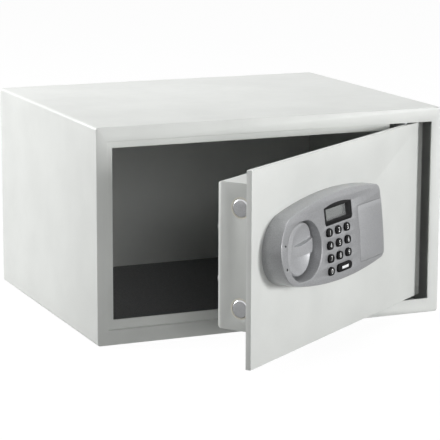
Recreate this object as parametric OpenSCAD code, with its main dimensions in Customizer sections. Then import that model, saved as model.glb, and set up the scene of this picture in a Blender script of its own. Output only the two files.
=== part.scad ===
// Electronic safe: a folded steel body with a recessed door, two thrown bolts,
// and a moulded lock housing with keypad, display, turning knob and hidden key lock.
// Millimetres, +Z up. The origin is the middle of the body's footprint, on the ground.
// The door is drawn open, turned about its hinge pins by door_open.

/* [Body] */
// Width of the body, across the front
body_w = 350; // [335:1:380]
// Height of the body
body_h = 200; // [195:1:240]
// Depth of the body, front face to back face
body_d = 285; // [240:1:340]
// Thickness of the body's folded sheet
wall = 2; // [1.5:0.1:3]
// Outer bend radius of the body's long edges
bend_r = 2.5; // [2:0.1:4]
// Width of the front face's left and right posts
post_w = 10.7; // [9:0.1:14]
// Height of the front face's top and bottom rails
rail_h = 13.5; // [12:0.1:18]
// How far the stop strip stands into the opening, at the left and the top
stop_w = 6.6; // [4:0.1:9]
// The same at the bottom
stop_foot = 8.6; // [4:0.1:12]
// Thickness of the stop strip and the strike
stop_t = 1.5; // [1:0.1:2]
// Thickness of the felt on the floor
felt_t = 2.5; // [1:0.1:5]
// Radius of the anchor holes in the floor and the back
anchor_r = 5; // [3:0.1:7]
// Distance between the anchor holes, across
anchor_across = 200; // [150:1:240]
// Distance between the floor's anchor holes, front to back
anchor_along = 150; // [100:1:180]
// Height of the back's anchor holes above the ground
back_anchor_z = 84; // [50:1:120]

/* [Door] */
// Angle the door is drawn open
door_open = 35.5; // [0:0.5:80]
// Thickness of the door plate
door_t = 5; // [4:0.1:6]
// Gap beside the door plate, left and right
side_gap = 1.7; // [1.5:0.1:3]
// Gap above and below the door plate
top_gap = 1.5; // [1:0.1:3]
// Distance from the door's hinge edge to the hinge axis
pivot_in = 23.8; // [23:0.1:28]
// Metal between the door plate's back and the hinge pins
pin_wall = 0.7; // [0.6:0.1:1]
// Radius of the hinge pins
pin_r = 2.5; // [2:0.1:2.8]
// Height of each hinge block
block_h = 14; // [10:1:18]
// Width of each hinge block
block_w = 14; // [10:1:16]

/* [Bolt work] */
// Radius of the two bolts
bolt_r = 8; // [6:0.1:9]
// Distance from the box's top and bottom to the bolts' axes, on average
bolt_inset = 20.2; // [18:0.1:22]
// Distance from the door's front to the bolts' axes
bolt_depth = 17.6; // [17:0.1:18.5]
// How far the bolts are thrown
bolt_throw = 14; // [11:0.1:15]
// Height of the bolts' centre line above the door's middle
bolt_rise = 6.6; // [0:0.1:8]
// Distance from the door's top and bottom to the box, on average
box_gap = 21.5; // [18:0.1:23]
// Height of the box's middle above the bolts' centre line
box_up = 1; // [0:0.1:2]
// Depth of the box behind the door plate
box_d = 36.5; // [34:0.1:42]
// Distance from the door's free edge to the box
box_inset = 12; // [11:0.1:13]
// Distance from the door's hinge edge to the box
box_end = 45; // [42:0.5:48]
// Sheet thickness of the box
box_t = 1.5; // [1:0.1:1.8]
// Radius of the box's rounded back edges
box_r = 5.5; // [4:0.5:8]
// Thickness of the sliding bolt carriage
carriage_t = 3; // [2:0.1:3.2]
// Radius of the crank pin on the knob's spindle
crank_pin_r = 2.5; // [2:0.1:3]
// Radius of the solenoid's plunger
plunger_r = 3; // [2:0.1:3.2]
// How far the plunger springs out
plunger_travel = 4; // [2:0.1:4.2]

/* [Lock housing] */
// Distance from the door's free edge to the knob's axis
knob_inset = 61.8; // [60:0.1:64]
// Height of the knob's axis above the door's middle
lock_rise = 8.8; // [4:0.1:11]
// Distance from the door's free edge to the lock housing
housing_inset = 17.1; // [15:0.1:18]
// Length of the lock housing
housing_l = 187; // [184:0.5:196]
// Height of the lock housing at its widest
housing_h = 77.4; // [76:0.2:84]
// Height of the housing's middle above the knob's axis
housing_up = 2.4; // [0:0.1:3]
// Radius of the housing's long arched edges
arch_r = 450; // [400:1:900]
// Distance from the housing's round end to its widest place
arch_at = 112.5; // [100:0.5:120]
// Corner radius at the housing's blunt end
corner_r = 7; // [5:0.5:10]
// Height of the face above the door, at the knob's axis
face_h = 19.4; // [18.5:0.1:22]
// Lean of the face, lower edge outwards
face_lean = 5.1; // [3:0.1:6]
// Radius of the face's slight curve from top to bottom
face_r = 600; // [500:10:2000]
// Wall thickness of the moulded housing
shell_t = 2.6; // [2:0.1:3]
// Thickness of the sliding key cover
cover_t = 1.5; // [1.2:0.1:1.7]
// Length of the sliding key cover
cover_l = 46.5; // [44:0.5:50]
// Height of the sliding key cover
cover_h = 51; // [46:0.5:52]

/* [Knob] */
// Radius of the knob
knob_r = 23.3; // [20:0.1:24.6]
// Height of the knob's face above the door
knob_top = 12; // [11:0.1:14]
// Radius of the round recess that the knob turns in
recess_r = 25.5; // [25:0.1:26]
// Height of the recess floor above the door
recess_floor = 2.4; // [2:0.1:3]
// Radius of the knob's spindle
spindle_r = 4; // [3:0.1:4.5]
// How far the grip bar reaches below the knob's middle
grip_under = 6.1; // [4:0.1:7]
// How far the grip bar reaches above the knob's middle, at its waist
grip_over = 3; // [2:0.1:6]
// Radius of the upper scoop's curved edge along the grip bar
grip_sweep = 62; // [50:1:90]
// Depth of the two finger scoops beside the grip bar
scoop_deep = 5; // [4:0.1:5.4]
// How far the scoops are shifted towards the hinge side
scoop_shift = 7; // [0:0.5:8]
// How far the recess's mouth is drawn out towards the free edge
mouth_w = 8.5; // [2:0.1:9]

/* [Keypad and display] */
// Distance between key columns
key_pitch_x = 16.2; // [14:0.1:16.6]
// Distance between key rows
key_pitch_z = 11.3; // [10.4:0.1:11.6]
// Width of a key cap
key_w = 10; // [8:0.1:11]
// Height of a key cap
key_h = 7; // [5:0.1:7.4]
// How far the key caps stand out of the face
key_proud = 1.7; // [1.3:0.1:2.4]
// Travel of a key
key_travel = 1; // [0.5:0.1:1.2]
// Width of the display's bezel
display_w = 51; // [46:0.1:53]
// Height of the display's bezel at its arched top
display_h = 18.2; // [16:0.1:18.4]
// Radius of the bezel's arched top
display_arch = 135; // [120:1:300]
// Black border of the display
display_rim = 4; // [3:0.1:4.5]
// Radius of the two signal lamps
lamp_r = 1.1; // [0.8:0.1:1.5]

/* [Batteries] */
// Radius of a cell
cell_r = 7.1; // [6.8:0.1:7.25]
// Length of a cell
cell_l = 49.5; // [47:0.1:50]
// Distance between cells
cell_pitch = 15.2; // [15:0.1:15.6]

/* [Hidden] */
$fn = 64;

// Clearances: a face-to-face seat, a loose fit, and a turning or sliding fit
seat_gap = 0.1;
loose_gap = 0.3;
run_gap = 0.06;
// Overlong cuts pass their faces by this much
through = 1;

// Body
front_y = -body_d / 2;
open_x = body_w / 2 - post_w;
open_z0 = rail_h;
open_z1 = body_h - rail_h;
stop_play = 0.6;
stop_short = 17;
stop_d = door_t + stop_play;
stop_back = stop_d + stop_t;
floor_z = wall;
felt_margin = 1;
felt_hole_rim = 1;

// Door, in its closed place
door_x1 = open_x - side_gap;
door_x0 = -door_x1;
door_z0 = open_z0 + top_gap;
door_z1 = open_z1 - top_gap;
door_mid = (door_z0 + door_z1) / 2;
bolt_z = door_mid + bolt_rise;
lock_z = door_mid + lock_rise;
pivot_x = door_x1 - pivot_in;
pivot_back = door_t + pin_wall + pin_r;
pivot_y = front_y + pivot_back;
stop_end = pivot_x - stop_short;

// Hinges
bracket_t = 3;
bracket_x = 13;
bracket_z = open_z1 + loose_gap;
bracket_deep = 10;
bracket_back = pivot_back + bracket_deep;
block_back = pivot_back + block_w / 2;
block_drop = 0.2;
block_top = door_z1 - block_drop;
pin_head_rim = 1.5;
pin_head_r = pin_r + pin_head_rim;
pin_head_h = 2;
pin_floor = 2;
washer_r = pin_r + pin_wall - run_gap;

// Strike
strike_x = -open_x + stop_w;
strike_t = 2;
strike_past = 6;
strike_back = bolt_depth + bolt_r + strike_past;
strike_margin = 12;
strike_hole_gap = 0.8;

// Bolt box
box_x0 = door_x0 + box_inset;
box_x1 = door_x1 - box_end;
box_h = door_z1 - door_z0 - 2 * box_gap;
box_z = bolt_z + box_up;
bolt_pitch = box_h - 2 * bolt_inset;
box_z0 = box_z - box_h / 2;
box_z1 = box_z + box_h / 2;
box_back = door_t + box_d;
box_inner = box_back - box_t;
post_r = 3.5;
post_bore_r = 1.5;
box_post_in = 10;
box_post_low = 22;
box_post_margin = 0.4;
box_post_high = box_h / 2 - box_r - post_r - box_post_margin;
box_post_spots = [for (side = [-1, 1]) each [[box_x0 + box_post_in, box_z + side * box_post_low],
    [box_x1 - box_post_in, box_z + side * box_post_high]]];
box_post_bore = 14;
box_screw_l = 12;
screw_head_r = 3.6;
screw_head_h = 2.2;
screw_hole_r = 2.1;
bush_wall = 1.3;
bush_r = bolt_r + bush_wall;
bush_collar = 1.6;
bush_collar_r = bush_r + bush_collar;
bush_l = 6;

// Bolt carriage
knob_x = door_x0 + knob_inset;
spindle_wall = 2;
knob_lift = 0.4;
knob_low = recess_floor + knob_lift;
knob_rim = 2;
knob_ease = 1;
socket_wall = 0.8;
knob_socket = knob_top - knob_low - scoop_deep - socket_wall;
crank_r = bolt_throw / (2 * sin(45));
crank_rim = 0.6;
crank_disc_r = crank_r + crank_pin_r + crank_rim;
crank_off = 2;
crank_d0 = door_t + crank_off;
crank_t = 3;
slot_play = 0.45;
web_d0 = 24;
web_d1 = web_d0 + carriage_t;
carriage_room = 19;
carriage_h = box_h - 2 * box_t - carriage_room;
carriage_side = 1;
carriage_x0 = knob_x - crank_disc_r - carriage_side - carriage_t;
carriage_l = 44;
carriage_x1 = knob_x + carriage_l;
carriage_lip = 1;
carriage_front = bolt_depth - bolt_r - carriage_lip;
carriage_post_out = 22;
carriage_post_x = knob_x + carriage_post_out;
carriage_post_edge = 14.5;
carriage_post_z = carriage_h / 2 - carriage_post_edge;
carriage_post_r = 4;
carriage_post_bore = 8;
carriage_screw_l = 6;
carriage_head_r = 4.4;
neck_r = 2.6;
bolt_proud = 0.4;
bolt_tip = box_x0 - bolt_proud;
bolt_screw_r = 2.5;
bolt_screw_l = 14;

// Solenoid, over the carriage's notched tongue
tongue_up = 14;
tongue_w = 16;
tongue_z0 = lock_z + tongue_up;
tongue_z1 = tongue_z0 + tongue_w;
plunger_in = 12;
plunger_x = carriage_x1 + plunger_in;
tongue_end = 14;
tongue_x1 = plunger_x + bolt_throw + tongue_end;
plunger_d = web_d0 + carriage_t / 2;
notch_play = 0.4;
notch_w = 2 * (plunger_r + notch_play);
notch_deep = plunger_travel + 2 * notch_play;
plunger_z0 = tongue_z1 + loose_gap;
plunger_collar_z = plunger_z0 + plunger_travel + notch_play;
plunger_collar_h = 1.2;
plunger_collar_r = plunger_r + 1.5;
solenoid_up = 10;
solenoid_z0 = tongue_z1 + solenoid_up;
solenoid_top_gap = 1.6;
solenoid_z1 = box_z1 - box_t - solenoid_top_gap;
solenoid_t = 2;
coil_size = 8.4;
coil_gap = 0.2;
coil_r = min(coil_size, box_inner - plunger_d - 2 * coil_gap);
coil_side = 2.5;
solenoid_w = 2 * (coil_r + coil_side);
solenoid_back = plunger_d - coil_r - coil_gap;

// Batteries, behind a cover in the box's back
cell_count = 4;
holder_t = 1.2;
contact_room = 4.5;
holder_w = cell_l + contact_room;
holder_h = cell_pitch * cell_count + 2 * holder_t;
holder_in = 15.6;
holder_x0 = box_x1 - holder_in - holder_w;
holder_z = box_z;
cell_play = 0.9;
holder_d0 = box_inner - 2 * cell_r - holder_t - cell_play;
nub_r = 2.7;
nub_h = 1;
cell_d = holder_d0 + holder_t + cell_r + seat_gap;
cover_lip = 1.4;

// Reset button
reset_in = 22;
reset_down = 15;
reset_x = box_x1 - reset_in;
reset_z = box_z1 - reset_down;
switch_w = 10;
switch_d = 8;
reset_r = 3;
reset_travel = 1.2;
reset_out = 0.9;

// Lock housing
housing_x0 = door_x0 + housing_inset;
housing_x1 = housing_x0 + housing_l;
housing_z = lock_z + housing_up;
arch_x = housing_x0 + arch_at;
arch_k = arch_r - housing_h / 2;
end_r = (arch_r * arch_r - arch_k * arch_k - arch_at * arch_at) / (2 * (arch_r - arch_at));
end_x = housing_x0 + end_r;
face_z = lock_z - face_r * sin(face_lean);
face_d = face_r * cos(face_lean) - face_h;
face_over = 8;
face_top = face_h + face_over;
cover_x0 = housing_x1 - cover_l;
cover_down = 2.8;
cover_z = lock_z - cover_down;
cover_gap = 0.25;
cup_t = 2.2;
boss_r = 3.6;
boss_bore_r = 1.5;
boss_out = 8;
ledge_wall = 1;
ledge_out = boss_out + ledge_wall;
boss_bore_past = 0.6;
housing_head_h = 1.6;
end_screw_in = 11;
end_screw_x = housing_x1 - end_screw_in;
end_screw_z = 18;
mid_screw_out = 12;
mid_screw_x = knob_x + mid_screw_out;
mid_screw_edge = 8.3;
mid_screw_z = housing_h / 2 - mid_screw_edge;
round_screw_in = 9.6;
housing_screw_spots = [[housing_x0 + round_screw_in, lock_z],
    [mid_screw_x, housing_z - mid_screw_z], [mid_screw_x, housing_z + mid_screw_z],
    [end_screw_x, lock_z - end_screw_z], [end_screw_x, lock_z + end_screw_z]];
lamp_in = 8.2;
lamp_x = housing_x0 + lamp_in;
lamp_z = 9.8;

// Key lock behind the cover
cylinder_in = 26;
cylinder_x = housing_x1 - cylinder_in;
cylinder_r = 8;
cylinder_out = 13;
cylinder_flange = 2.6;
cylinder_flange_t = 2.4;
cylinder_hole_gap = 0.6;
cylinder_inside = 13;
cylinder_back = door_t + cylinder_inside;
plug_tail = 1.2;
nut_t = 4;
cam_w = 8;
cam_hub_r = 6.5;
cam_screw_r = 3.4;
keyway_w = 1.4;
plug_r = 5.5;
nut_r = 12;
cam_t = 2;
cam_l = 22;

// Keypad
key_first_x = 39.2;
key_first_z = 8.4;
key_x0 = knob_x + key_first_x;
key_z0 = lock_z + key_first_z;
key_gap = 0.3;
frame_d0 = face_out(key_z0 + key_pitch_z / 2) - shell_t - seat_gap;
frame_t = 1.6;
frame_under = frame_d0 - frame_t;
flange_t = 1;
flange_rim = 1;
mat_out = frame_under - flange_t - 4 * seat_gap - key_travel;
mat_t = 1.4;
mat_side = 0.3;
board_out = mat_out - mat_t;
board_t = 1.6;
board_edge = 3.4;
board_side = 11.9;
board_x0 = key_x0 - board_side - board_edge;
board_end = 4;
board_x1 = cylinder_x - cylinder_r - board_end;
board_foot = 5.4;
board_z0 = key_z0 - 3 * key_pitch_z - board_foot;
board_top = 31;
board_z1 = lock_z + board_top;
board_cup_gap = 0.8;
board_screw_r = 1.1;
board_screw_l = 3.2;
board_bore_past = 0.6;
board_head_r = 2.3;
board_head_h = 1.2;
board_boss_wall = 1.5;
board_spots = [for (x = [board_x0 + board_edge, board_x1 - board_edge],
    z = [board_z0 + board_edge, board_z1 - board_edge]) [x, z]];
frame_side = 0.6;
frame_foot = 1.6;
frame_top = 0.4;
frame_wall = 1;
frame_x0 = key_x0 - key_pitch_x / 2 - frame_side;
frame_x1 = key_x0 + 2.5 * key_pitch_x + frame_side;
frame_z0 = key_z0 - 3 * key_pitch_z - key_h / 2 - frame_foot;
frame_z1 = key_z0 + key_pitch_z / 2 - frame_top;

// Wiring
loom_r = 1.6;
loom_hole_r = 5;
loom_in = 9;
loom_x = board_x1 - loom_in;
loom_down = 8;
loom_z = lock_z - loom_down;
loom_drop = 30;
loom_low = lock_z - loom_drop;
loom_start = board_t - board_out;
loom_d = 10.5;
loom_apart = 2;
loom_up = 8;
loom_past = 3;
loom_side = plunger_x + solenoid_w / 2 + loom_past;
loom_high = solenoid_z0 + loom_up;
loom_paths = [
    [[loom_x - loom_apart, loom_start, loom_z], [loom_x - loom_apart, loom_d, loom_z],
        [loom_x - loom_apart, loom_d, loom_high], [loom_side, loom_d, loom_high],
        [loom_side, plunger_d, loom_high],
        [plunger_x + coil_r + 2 * seat_gap, plunger_d, loom_high]],
    [[loom_x + loom_apart, loom_start, loom_z], [loom_x + loom_apart, loom_d, loom_z],
        [loom_x + loom_apart, loom_d, loom_low], [holder_x0 + loom_up, loom_d, loom_low],
        [holder_x0 + loom_up, holder_d0 - seat_gap, loom_low]]
];

// Display
display_right = 20.4;
display_x = key_x0 + display_right;
display_up = 14.2;
display_z0 = lock_z + display_up;
display_corner = 3.2;
display_sink = 0.5;
window_sink = 0.7;
window_t = 1.2;
panel_lift = 1.5;
panel_out = board_out + panel_lift;

// Depth of a place behind the door's front, as a Y
function depth(d) = front_y + d;
// Half height of the housing's outline at x
function arch_half(x) = sqrt(arch_r * arch_r - (x - arch_x) * (x - arch_x)) - arch_k;
// Height of the leaning face above the door, at height z
function face_out(z) = sqrt(face_r * face_r - (z - face_z) * (z - face_z)) - face_d;

// Turns the closed door's pieces to the drawn angle
module swung() {
    translate([pivot_x, pivot_y, 0]) rotate([0, 0, door_open])
        translate([-pivot_x, -pivot_y, 0]) children();
}

// Draws a piece at the top and its mirror image at the bottom
module top_and_bottom() {
    children();
    translate([0, 0, body_h]) mirror([0, 0, 1]) children();
}

// Draws a piece above a level line and again below it
module above_and_below(line) {
    children();
    translate([0, 0, 2 * line]) mirror([0, 0, 1]) children();
}

// A round rod along Y, between two depths behind the door's front
module rod_y(x, z, d0, d1, r) {
    translate([x, depth(d0), z]) rotate([-90, 0, 0]) cylinder(r = r, h = d1 - d0);
}

// A round rod along X
module rod_x(d, z, x0, x1, r) {
    translate([x0, depth(d), z]) rotate([0, 90, 0]) cylinder(r = r, h = x1 - x0);
}

// A round rod along Z
module rod_z(x, d, z0, z1, r) {
    translate([x, depth(d), z0]) cylinder(r = r, h = z1 - z0);
}

// A block given by its low and high places
module block(x0, x1, d0, d1, z0, z1) {
    translate([x0, depth(d0), z0]) cube([x1 - x0, d1 - d0, z1 - z0]);
}

// Extrudes an outline drawn in X and Z between two depths
module face_prism(d0, d1) {
    translate([0, depth(d1), 0]) rotate([90, 0, 0]) linear_extrude(d1 - d0) children();
}

// A rectangle with round corners, from its low corner
module round_rect(w, h, r) {
    translate([r, 0]) square([w - 2 * r, h]);
    translate([0, r]) square([w, h - 2 * r]);
    for (x = [r, w - r], y = [r, h - r]) translate([x, y]) circle(r);
}

// A slot with round ends, about its middle, w long and h high
module slot_outline(w, h) {
    square([w - h, h], center = true);
    for (x = [-1, 1] * (w - h) / 2) translate([x, 0]) circle(h / 2);
}

module body_outline(inset) {
    translate([inset - body_w / 2, inset])
        round_rect(body_w - 2 * inset, body_h - 2 * inset, max(bend_r - inset, 0.4));
}

// The four floor anchor holes
module floor_holes(r) {
    for (x = [-1, 1] * anchor_across / 2, y = [-1, 1] * anchor_along / 2)
        translate([x, y, -through]) cylinder(r = r, h = wall + felt_t + 2 * through);
}

// Folded sheet: floor, roof, two sides and the front face round the opening
module body_shell() {
    color("gainsboro") difference() {
        face_prism(0, body_d) body_outline(0);
        face_prism(wall, body_d + through) body_outline(wall);
        block(-open_x, open_x, -through, wall + through, open_z0, open_z1);
        floor_holes(anchor_r);
    }
}

// Back sheet, set in flush between the sides
module back_panel() {
    color("lightgray") difference() {
        face_prism(body_d - wall, body_d) body_outline(wall + seat_gap / 2);
        for (x = [-1, 1] * anchor_across / 2)
            rod_y(x, back_anchor_z, body_d - wall - through, body_d + through, anchor_r);
    }
}

// Stop strip behind the opening, on the lock side, the top and the bottom
module stop_frame() {
    color("gainsboro") difference() {
        block(-open_x - stop_t, stop_end, wall, stop_back, open_z0 - stop_t, open_z1 + stop_t);
        block(-open_x, body_w, wall - through, stop_d, open_z0, open_z1);
        block(strike_x, body_w, 0, stop_back + through, open_z0 + stop_foot, open_z1 - stop_w);
    }
}

// Plate that the bolts shoot into, welded to the body's side
module strike_plate() {
    z0 = open_z0 + stop_foot + strike_margin;
    z1 = open_z1 - strike_margin / 2;
    color("silver") difference() {
        union() {
            block(strike_x - strike_t, strike_x, stop_back, strike_back, z0, z1);
            block(-body_w / 2 + wall, strike_x, strike_back - strike_t, strike_back, z0, z1);
        }
        above_and_below(bolt_z) rod_x(bolt_depth, bolt_z + bolt_pitch / 2,
            strike_x - strike_t - through, strike_x + through, bolt_r + strike_hole_gap);
    }
}

module hinge_brackets() {
    color("gray") top_and_bottom() difference() {
        union() {
            block(pivot_x - bracket_x, pivot_x + bracket_x, wall, bracket_back,
                bracket_z, bracket_z + bracket_t);
            block(pivot_x - bracket_x, pivot_x + bracket_x, bracket_back - bracket_t,
                bracket_back, bracket_z, body_h - wall);
        }
        rod_z(pivot_x, pivot_back, bracket_z - through, bracket_z + bracket_t + through,
            pin_r + run_gap);
    }
}

module hinge_pins() {
    color("silver") top_and_bottom() {
        rod_z(pivot_x, pivot_back, block_top - block_h + pin_floor,
            bracket_z + bracket_t, pin_r);
        rod_z(pivot_x, pivot_back, bracket_z + bracket_t,
            bracket_z + bracket_t + pin_head_h, pin_head_r);
    }
}

// Felt on the floor, holed at the anchors
module floor_felt() {
    x = body_w / 2 - wall - felt_margin;
    color("dimgray") difference() {
        block(-x, x, strike_back + felt_margin, body_d - wall - felt_margin,
            floor_z, floor_z + felt_t);
        floor_holes(anchor_r + felt_hole_rim);
    }
}

module door_plate() {
    color("gainsboro") swung() difference() {
        block(door_x0, door_x1, 0, door_t, door_z0, door_z1);
        rod_y(knob_x, lock_z, -through, door_t + through, spindle_r + spindle_wall + seat_gap);
        rod_y(cylinder_x, lock_z, -through, door_t + through, cylinder_r + seat_gap);
        rod_y(loom_x, loom_z, -through, door_t + through, loom_hole_r);
        for (s = housing_screw_spots)
            rod_y(s[0], s[1], -through, door_t + through, screw_hole_r);
    }
}

// Blocks welded to the door's back, bored for the hinge pins
module hinge_blocks() {
    color("gray") swung() top_and_bottom() difference() {
        block(pivot_x - block_w / 2, pivot_x + block_w / 2, door_t, block_back,
            block_top - block_h, block_top);
        rod_z(pivot_x, pivot_back, block_top - block_h - through, block_top + through,
            pin_r + run_gap);
    }
}

module hinge_washers() {
    color("silver") swung() top_and_bottom() difference() {
        rod_z(pivot_x, pivot_back, block_top, bracket_z - seat_gap, washer_r);
        rod_z(pivot_x, pivot_back, block_top - through, bracket_z + through, pin_r + seat_gap);
    }
}

// The box's solid, with its back edges rounded, shrunk all round by inset
module box_solid(inset) {
    x0 = box_x0 + inset;
    x1 = box_x1 - inset;
    z0 = box_z0 + inset;
    z1 = box_z1 - inset;
    d1 = box_back - inset;
    r = box_r - inset;
    long = d1 + box_r;
    intersection() {
        translate([x0, depth(-box_r), z0]) rotate([90, 0, 90])
            linear_extrude(x1 - x0) round_rect(long, z1 - z0, r);
        translate([x0, depth(-box_r), z0])
            linear_extrude(z1 - z0) round_rect(x1 - x0, long, r);
    }
}

// Sheet box over the bolt work, open towards the door plate
module bolt_box() {
    color("lightgray") swung() difference() {
        intersection() {
            box_solid(0);
            block(box_x0, box_x1, door_t, box_back, box_z0, box_z1);
        }
        box_solid(box_t);
        above_and_below(bolt_z) rod_x(bolt_depth, bolt_z + bolt_pitch / 2, box_x0 - through,
            box_x0 + box_t + through, bush_r + seat_gap);
        for (s = box_post_spots)
            rod_y(s[0], s[1], box_inner - through, box_back + through, screw_hole_r);
        block(holder_x0 + cover_lip, holder_x0 + holder_w - cover_lip, box_inner - through,
            box_back + through, holder_z - holder_h / 2 + cover_lip,
            holder_z + holder_h / 2 - cover_lip);
        rod_y(reset_x, reset_z, box_inner - through, box_back + through, reset_r + loose_gap);
    }
}

// Threaded posts on the door plate that hold the box
module box_posts() {
    color("silver") swung() for (s = box_post_spots) difference() {
        rod_y(s[0], s[1], door_t, box_inner, post_r);
        rod_y(s[0], s[1], box_inner - box_post_bore, box_inner + through, post_bore_r + run_gap);
    }
}

module box_screws() {
    color("dimgray") swung() for (s = box_post_spots) difference() {
        union() {
            rod_y(s[0], s[1], box_back, box_back + screw_head_h, screw_head_r);
            rod_y(s[0], s[1], box_inner - box_screw_l, box_back, post_bore_r);
        }
        cross_slot(s[0], s[1], box_back + screw_head_h);
    }
}

// Cross recess in a screw's head that faces the back
module cross_slot(x, z, d) {
    for (turn = [0, 90]) translate([x, depth(d), z]) rotate([0, turn, 0])
        cube([4, 2.4, 0.9], center = true);
}

// Plastic bushes in the box's side, round the bolts
module bolt_bushes() {
    color("black") swung() above_and_below(bolt_z) difference() {
        union() {
            rod_x(bolt_depth, bolt_z + bolt_pitch / 2, box_x0, box_x0 + bush_l, bush_r);
            rod_x(bolt_depth, bolt_z + bolt_pitch / 2, box_x0 + box_t, box_x0 + box_t + bush_collar,
                bush_collar_r);
        }
        rod_x(bolt_depth, bolt_z + bolt_pitch / 2, box_x0 - through, box_x0 + bush_l + through,
            bolt_r + run_gap);
    }
}

// Shouldered posts that carry the sliding carriage
module carriage_posts() {
    color("silver") swung() above_and_below(bolt_z) difference() {
        union() {
            rod_y(carriage_post_x, bolt_z + carriage_post_z, door_t, web_d0 - seat_gap,
                carriage_post_r);
            rod_y(carriage_post_x, bolt_z + carriage_post_z, web_d0 - seat_gap,
                web_d1 + seat_gap, neck_r);
        }
        rod_y(carriage_post_x, bolt_z + carriage_post_z, web_d0 - carriage_post_bore, web_d1 + through,
            post_bore_r + run_gap);
    }
}

module carriage_screws() {
    d = web_d1 + seat_gap;
    color("dimgray") swung() above_and_below(bolt_z) difference() {
        union() {
            rod_y(carriage_post_x, bolt_z + carriage_post_z, d, d + screw_head_h, carriage_head_r);
            rod_y(carriage_post_x, bolt_z + carriage_post_z, web_d0 - carriage_screw_l, d, post_bore_r);
        }
        cross_slot(carriage_post_x, bolt_z + carriage_post_z, d + screw_head_h);
    }
}

// Slide that carries both bolts: an upright flange, a slotted web and a notched tongue
module bolt_carriage() {
    half = carriage_h / 2;
    pin_x = knob_x + bolt_throw / 2;
    color("darkgray") swung() difference() {
        union() {
            block(carriage_x0, carriage_x0 + carriage_t, carriage_front, web_d1,
                bolt_z - half, bolt_z + half);
            block(carriage_x0, carriage_x1, web_d0, web_d1, bolt_z - half, bolt_z + half);
            block(carriage_x1 - through, tongue_x1, web_d0, web_d1, tongue_z0, tongue_z1);
        }
        block(pin_x - crank_pin_r - slot_play, pin_x + crank_pin_r + slot_play,
            web_d0 - through, web_d1 + through,
            lock_z + crank_r * cos(45) - crank_pin_r - 0.6, lock_z + crank_r + crank_pin_r + 0.6);
        above_and_below(bolt_z) translate([bolt_throw / 2, 0, 0])
            face_prism(web_d0 - through, web_d1 + through)
            translate([carriage_post_x, bolt_z + carriage_post_z])
            slot_outline(bolt_throw + 2 * neck_r + 0.6, 2 * neck_r + 0.3);
        above_and_below(bolt_z) rod_x(bolt_depth, bolt_z + bolt_pitch / 2, carriage_x0 - through,
            carriage_x0 + carriage_t + through, bolt_screw_r + seat_gap);
        for (x = [plunger_x, plunger_x + bolt_throw])
            block(x - notch_w / 2, x + notch_w / 2, web_d0 - through, web_d1 + through,
                tongue_z1 - notch_deep, tongue_z1 + through);
    }
}

// Two round bolts, chamfered at the tip and bored for their screws
module locking_bolts() {
    tip = 1;
    color("silver") swung() above_and_below(bolt_z) difference() {
        translate([carriage_x0, depth(bolt_depth), bolt_z + bolt_pitch / 2])
            rotate([0, -90, 0]) rotate_extrude() polygon([[0, 0], [bolt_r, 0],
                [bolt_r, carriage_x0 - bolt_tip - tip], [bolt_r - tip, carriage_x0 - bolt_tip],
                [0, carriage_x0 - bolt_tip]]);
        rod_x(bolt_depth, bolt_z + bolt_pitch / 2, carriage_x0 - bolt_screw_l, carriage_x0 + through,
            bolt_screw_r + run_gap);
    }
}

module bolt_screws() {
    x = carriage_x0 + carriage_t;
    color("dimgray") swung() above_and_below(bolt_z) {
        rod_x(bolt_depth, bolt_z + bolt_pitch / 2, x - bolt_screw_l, x, bolt_screw_r);
        rod_x(bolt_depth, bolt_z + bolt_pitch / 2, x, x + 2.8, bolt_screw_r + 1.6);
    }
}

// The grip bar from the front: straight below, with a curved edge above
module grip_outline() {
    difference() {
        translate([-2 * knob_r, -grip_under]) square([4 * knob_r, grip_under + grip_over + knob_r / 2]);
        translate([0, grip_over + grip_sweep]) circle(grip_sweep, $fn = 180);
    }
}

// Knob: a disc with a finger scoop on each side of its grip bar
module knob() {
    rim_r = knob_r - knob_rim;
    scoop_r = (rim_r * rim_r + scoop_deep * scoop_deep) / (2 * scoop_deep);
    color("silver") swung() difference() {
        translate([knob_x, depth(-knob_low), lock_z]) rotate([90, 0, 0]) rotate_extrude()
            polygon([[0, 0], [knob_r, 0], [knob_r, knob_top - knob_low - knob_ease],
                [knob_r - knob_ease, knob_top - knob_low], [0, knob_top - knob_low]]);
        translate([knob_x, depth(-knob_top + scoop_deep - scoop_r), lock_z]) difference() {
            translate([scoop_shift, 0, 0]) sphere(scoop_r, $fn = 180);
            rotate([90, 0, 0]) linear_extrude(3 * scoop_r, center = true) grip_outline();
        }
        rod_y(knob_x, lock_z, -knob_low - knob_socket, -knob_low + through, spindle_r + run_gap);
    }
}

// Spindle, crank disc and crank pin, turned as one
module knob_spindle() {
    color("darkgray") swung() {
        rod_y(knob_x, lock_z, -knob_low - knob_socket + 0.1, crank_d0, spindle_r);
        rod_y(knob_x, lock_z, crank_d0, crank_d0 + crank_t, crank_disc_r);
        translate([crank_r * sin(45), 0, crank_r * cos(45)])
            rod_y(knob_x, lock_z, crank_d0 + crank_t, web_d1 + 1, crank_pin_r);
    }
}

module spindle_bush() {
    color("ivory") swung() difference() {
        union() {
            rod_y(knob_x, lock_z, 0, door_t, spindle_r + spindle_wall);
            rod_y(knob_x, lock_z, door_t, crank_d0 - loose_gap, spindle_r + 2 * spindle_wall);
        }
        rod_y(knob_x, lock_z, -through, crank_d0, spindle_r + run_gap);
    }
}

module solenoid_bracket() {
    color("gray") swung() block(plunger_x - solenoid_w / 2 + 2, plunger_x + solenoid_w / 2 - 2, door_t,
        solenoid_back - solenoid_t, solenoid_z0 + 2, solenoid_z1 - 2);
}

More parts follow.
